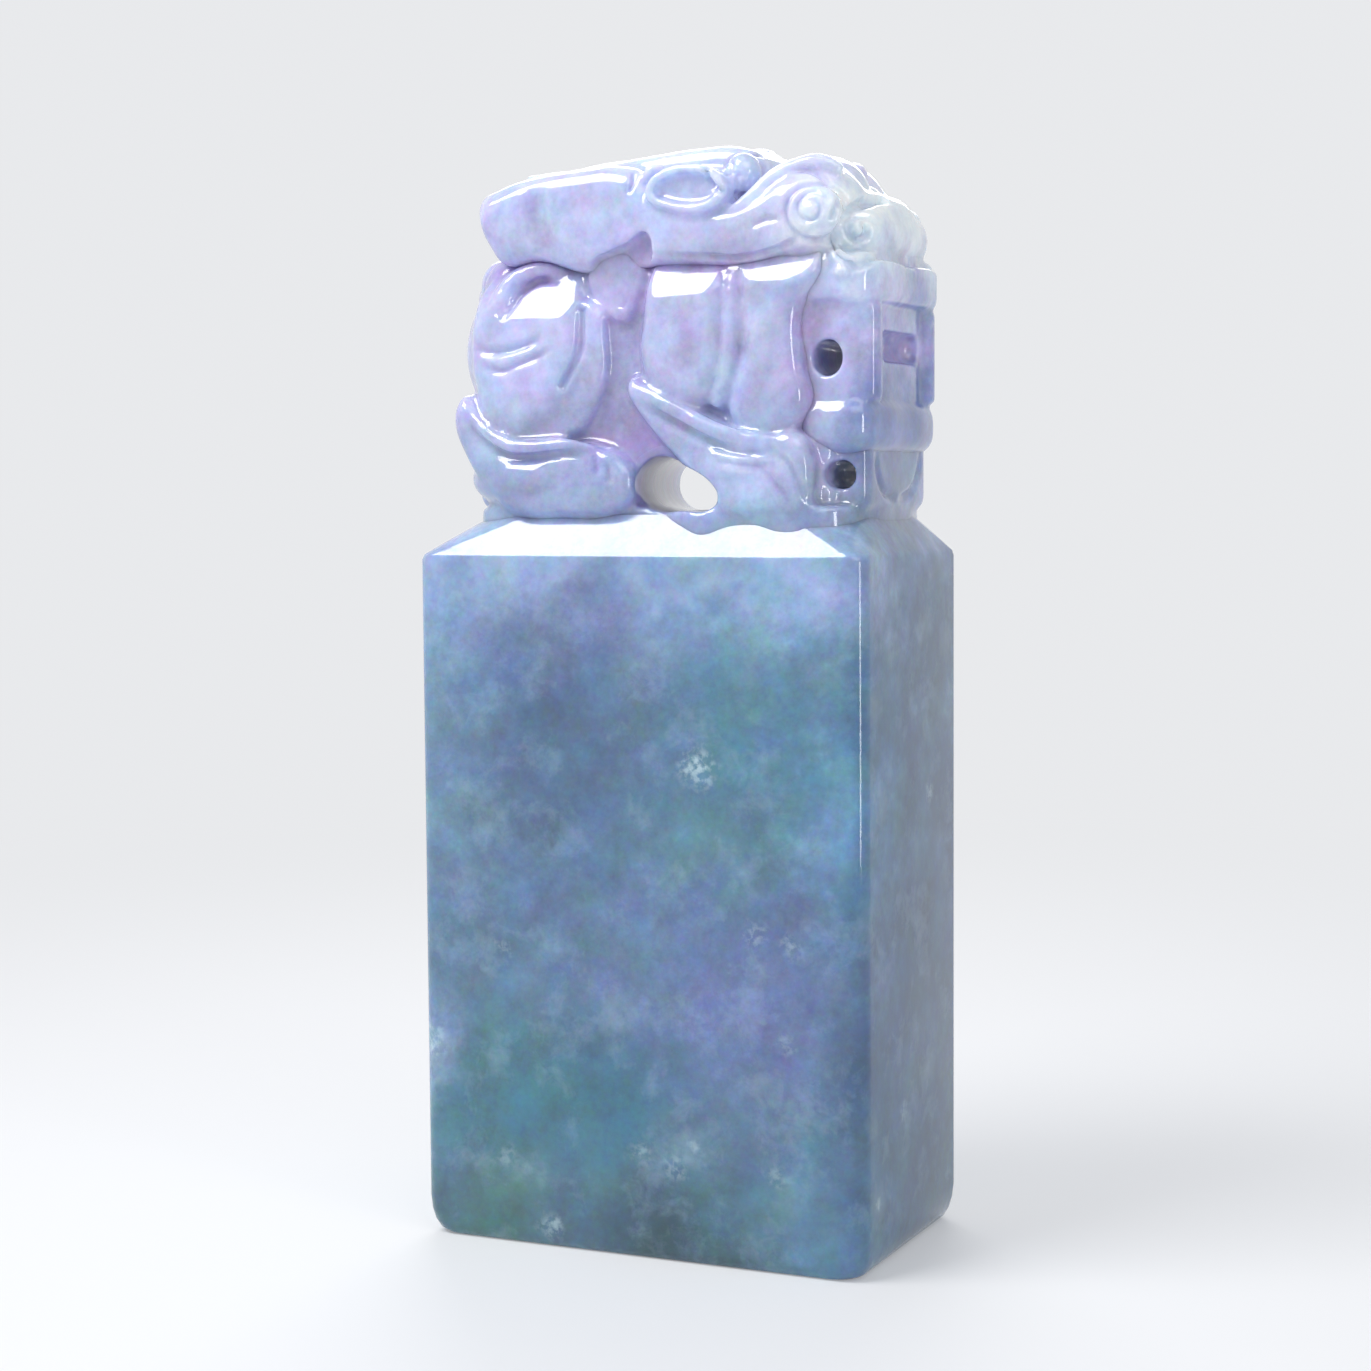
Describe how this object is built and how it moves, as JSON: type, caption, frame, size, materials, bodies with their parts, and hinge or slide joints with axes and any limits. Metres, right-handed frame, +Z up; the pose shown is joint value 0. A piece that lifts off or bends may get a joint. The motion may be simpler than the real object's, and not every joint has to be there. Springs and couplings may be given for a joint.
{
  "type": "seal stamp",
  "caption": "Upright oblong seal stamp of polished jade with a flat stamping face and a crouching openwork beast carved as its knob.",
  "frame": {"origin": "centre of the flat seal face on the underside of the block", "axes": "+Z up through the block to the carving, +X the way the beast looks, along the block's wide side, +Y towards the beast's left flank, across the block's narrow side"},
  "size_m": [0.0264, 0.015, 0.0601],
  "materials": {
    "block_jade": "polished, translucent, blue-green with violet clouds",
    "carved_jade": "polished, translucent, pale lavender"
  },
  "bodies": {
    "root": {"seal_block": "block_jade", "trunk": "carved_jade", "tail": "carved_jade", "right_hind_leg": "carved_jade", "left_hind_leg": "carved_jade", "right_fore_leg": "carved_jade", "left_fore_leg": "carved_jade", "neck": "carved_jade", "mane": "carved_jade", "hair_knot": "carved_jade", "skull": "carved_jade", "brow": "carved_jade", "right_eye": "carved_jade", "left_eye": "carved_jade", "right_ear": "carved_jade", "left_ear": "carved_jade", "nose": "carved_jade", "lip": "carved_jade", "mouth": "carved_jade", "right_fang": "carved_jade", "left_fang": "carved_jade", "jaw": "carved_jade", "beard": "carved_jade"}
  },
  "joints": []
}
